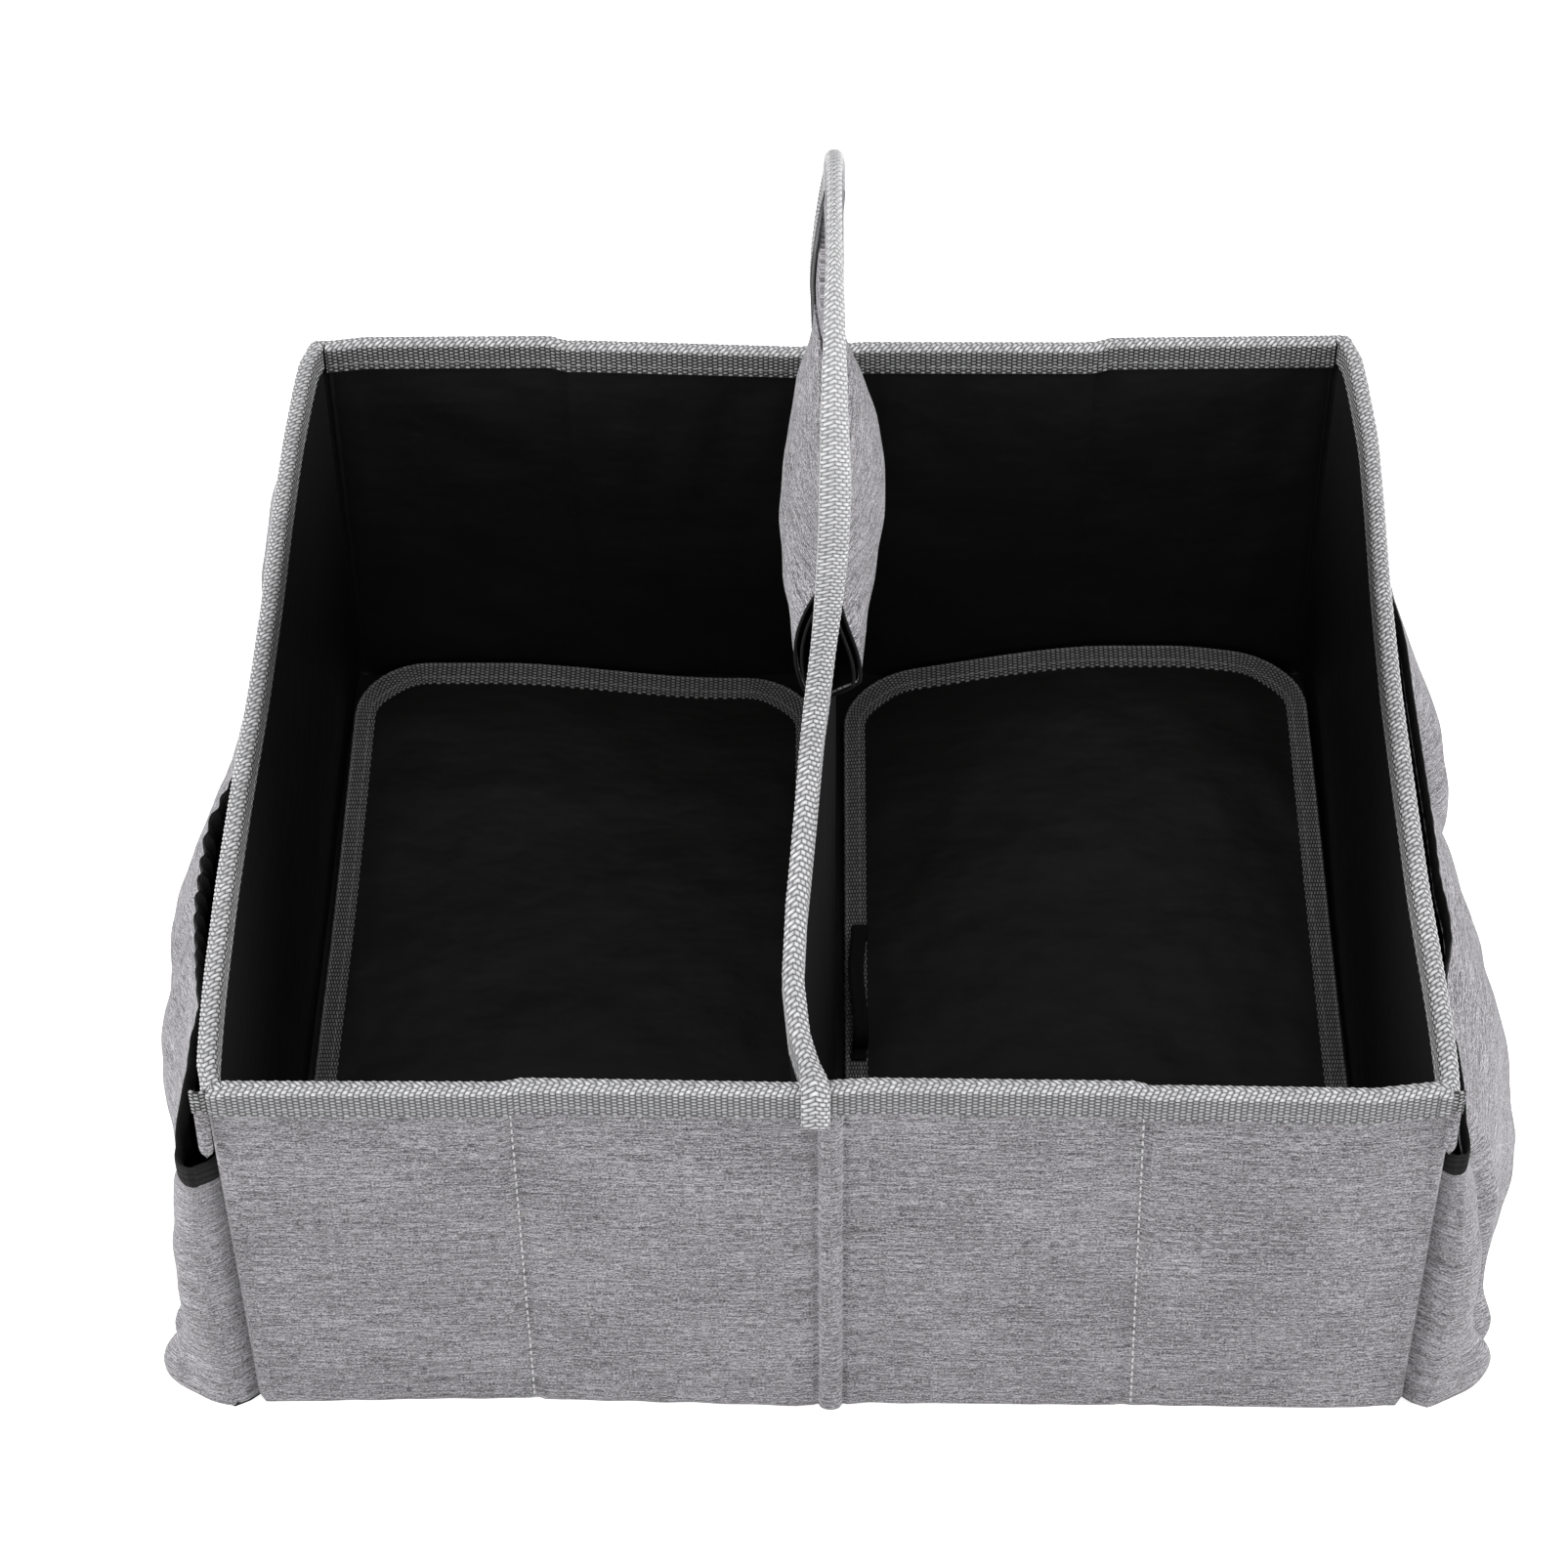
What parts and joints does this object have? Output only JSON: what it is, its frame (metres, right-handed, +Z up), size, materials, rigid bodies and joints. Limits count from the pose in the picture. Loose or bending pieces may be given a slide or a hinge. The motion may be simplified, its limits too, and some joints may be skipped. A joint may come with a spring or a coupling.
{
  "type": "foldable fabric caddy",
  "caption": "Open fabric caddy with a centre divider that rises to a carrying handle, outer pouches, lift-up floor boards, and sides that fold flat against the divider.",
  "frame": {"origin": "middle of the footprint, on the floor that the caddy stands on", "axes": "+Z up, +X to the right along the front wall, +Y from the front wall to the back wall; the divider stands in the YZ plane"},
  "size_m": [0.4478, 0.357, 0.365],
  "materials": {
    "heather_cloth": "heather grey woven polyester",
    "webbing": "light grey woven webbing",
    "lining": "black coated polyester lining",
    "floor_pad": "black polyester over board",
    "elastic": "black elastic",
    "stiffener": "grey board, hidden"
  },
  "bodies": {
    "core": {"divider_stiffener": "stiffener", "divider_lining": "lining", "divider_binding": "webbing", "front_rib": "heather_cloth", "back_rib": "heather_cloth", "left_divider_pocket": "heather_cloth", "left_divider_elastic": "elastic", "right_divider_pocket": "heather_cloth", "right_divider_elastic": "elastic", "base_cloth": "lining"},
    "left_front_inner": {"left_front_inner_cloth": "heather_cloth", "left_front_inner_stiffener": "stiffener", "left_front_inner_lining": "lining", "left_front_inner_binding": "webbing"},
    "left_front_outer": {"left_front_outer_cloth": "heather_cloth", "left_front_outer_stiffener": "stiffener", "left_front_outer_lining": "lining", "left_front_outer_binding": "webbing"},
    "left_back_inner": {"left_back_inner_cloth": "heather_cloth", "left_back_inner_stiffener": "stiffener", "left_back_inner_lining": "lining", "left_back_inner_binding": "webbing"},
    "left_back_outer": {"left_back_outer_cloth": "heather_cloth", "left_back_outer_stiffener": "stiffener", "left_back_outer_lining": "lining", "left_back_outer_binding": "webbing"},
    "left_end": {"left_end_cloth": "heather_cloth", "left_end_stiffener": "stiffener", "left_end_lining": "lining", "left_end_binding": "webbing", "left_end_pocket": "heather_cloth", "left_end_elastic": "elastic"},
    "left_floor_board": {"left_floor_pad": "floor_pad", "left_floor_binding": "webbing", "left_floor_loop": "elastic"},
    "right_front_inner": {"right_front_inner_cloth": "heather_cloth", "right_front_inner_stiffener": "stiffener", "right_front_inner_lining": "lining", "right_front_inner_binding": "webbing"},
    "right_front_outer": {"right_front_outer_cloth": "heather_cloth", "right_front_outer_stiffener": "stiffener", "right_front_outer_lining": "lining", "right_front_outer_binding": "webbing"},
    "right_back_inner": {"right_back_inner_cloth": "heather_cloth", "right_back_inner_stiffener": "stiffener", "right_back_inner_lining": "lining", "right_back_inner_binding": "webbing"},
    "right_back_outer": {"right_back_outer_cloth": "heather_cloth", "right_back_outer_stiffener": "stiffener", "right_back_outer_lining": "lining", "right_back_outer_binding": "webbing"},
    "right_end": {"right_end_cloth": "heather_cloth", "right_end_stiffener": "stiffener", "right_end_lining": "lining", "right_end_binding": "webbing", "right_end_pocket": "heather_cloth", "right_end_elastic": "elastic"},
    "right_floor_board": {"right_floor_pad": "floor_pad", "right_floor_binding": "webbing", "right_floor_loop": "elastic"}
  },
  "joints": [
    {"name": "left_fold", "type": "hinge", "parent": "core", "child": "left_front_inner", "pos_m": [-0.0095, -0.1775, 0], "axis": [0, 0, 1], "range_deg": [0, 86], "deforming": ["base_cloth"]},
    {"name": "left_front_seam", "type": "hinge", "parent": "left_front_inner", "child": "left_front_outer", "pos_m": [-0.09675, -0.1715, 0], "axis": [0, 0, -1], "range_deg": [0, 173]},
    {"name": "left_front_corner", "type": "hinge", "parent": "left_front_outer", "child": "left_end", "pos_m": [-0.184, -0.1775, 0], "axis": [0, 0, 1], "range_deg": [0, 86.5]},
    {"name": "left_back_fold", "type": "hinge", "parent": "core", "child": "left_back_inner", "pos_m": [-0.0095, 0.1775, 0], "axis": [0, 0, -1], "range_deg": [0, 86.5]},
    {"name": "left_back_seam", "type": "hinge", "parent": "left_back_inner", "child": "left_back_outer", "pos_m": [-0.09675, 0.1715, 0], "axis": [0, 0, 1], "range_deg": [0, 173]},
    {"name": "left_board_lift", "type": "hinge", "parent": "left_end", "child": "left_floor_board", "pos_m": [-0.1836, 0, 0.0062], "axis": [0, -1, 0], "range_deg": [0, 86.5]},
    {"name": "right_fold", "type": "hinge", "parent": "core", "child": "right_front_inner", "pos_m": [0.0095, -0.1775, 0], "axis": [0, 0, -1], "range_deg": [0, 86], "deforming": ["base_cloth"]},
    {"name": "right_front_seam", "type": "hinge", "parent": "right_front_inner", "child": "right_front_outer", "pos_m": [0.09675, -0.1715, 0], "axis": [0, 0, 1], "range_deg": [0, 173]},
    {"name": "right_front_corner", "type": "hinge", "parent": "right_front_outer", "child": "right_end", "pos_m": [0.184, -0.1775, 0], "axis": [0, 0, -1], "range_deg": [0, 86.5]},
    {"name": "right_back_fold", "type": "hinge", "parent": "core", "child": "right_back_inner", "pos_m": [0.0095, 0.1775, 0], "axis": [0, 0, 1], "range_deg": [0, 86.5]},
    {"name": "right_back_seam", "type": "hinge", "parent": "right_back_inner", "child": "right_back_outer", "pos_m": [0.09675, 0.1715, 0], "axis": [0, 0, -1], "range_deg": [0, 173]},
    {"name": "right_board_lift", "type": "hinge", "parent": "right_end", "child": "right_floor_board", "pos_m": [0.1836, 0, 0.0062], "axis": [0, 1, 0], "range_deg": [0, 86.5]}
  ],
  "couplings": [
    {"joint": "left_front_seam", "follows": "left_fold", "ratio": 2},
    {"joint": "left_front_corner", "follows": "left_fold", "ratio": 1},
    {"joint": "left_back_fold", "follows": "left_fold", "ratio": 1},
    {"joint": "left_back_seam", "follows": "left_fold", "ratio": 2},
    {"joint": "left_board_lift", "follows": "left_fold", "ratio": 1},
    {"joint": "right_front_seam", "follows": "right_fold", "ratio": 2},
    {"joint": "right_front_corner", "follows": "right_fold", "ratio": 1},
    {"joint": "right_back_fold", "follows": "right_fold", "ratio": 1},
    {"joint": "right_back_seam", "follows": "right_fold", "ratio": 2},
    {"joint": "right_board_lift", "follows": "right_fold", "ratio": 1}
  ]
}
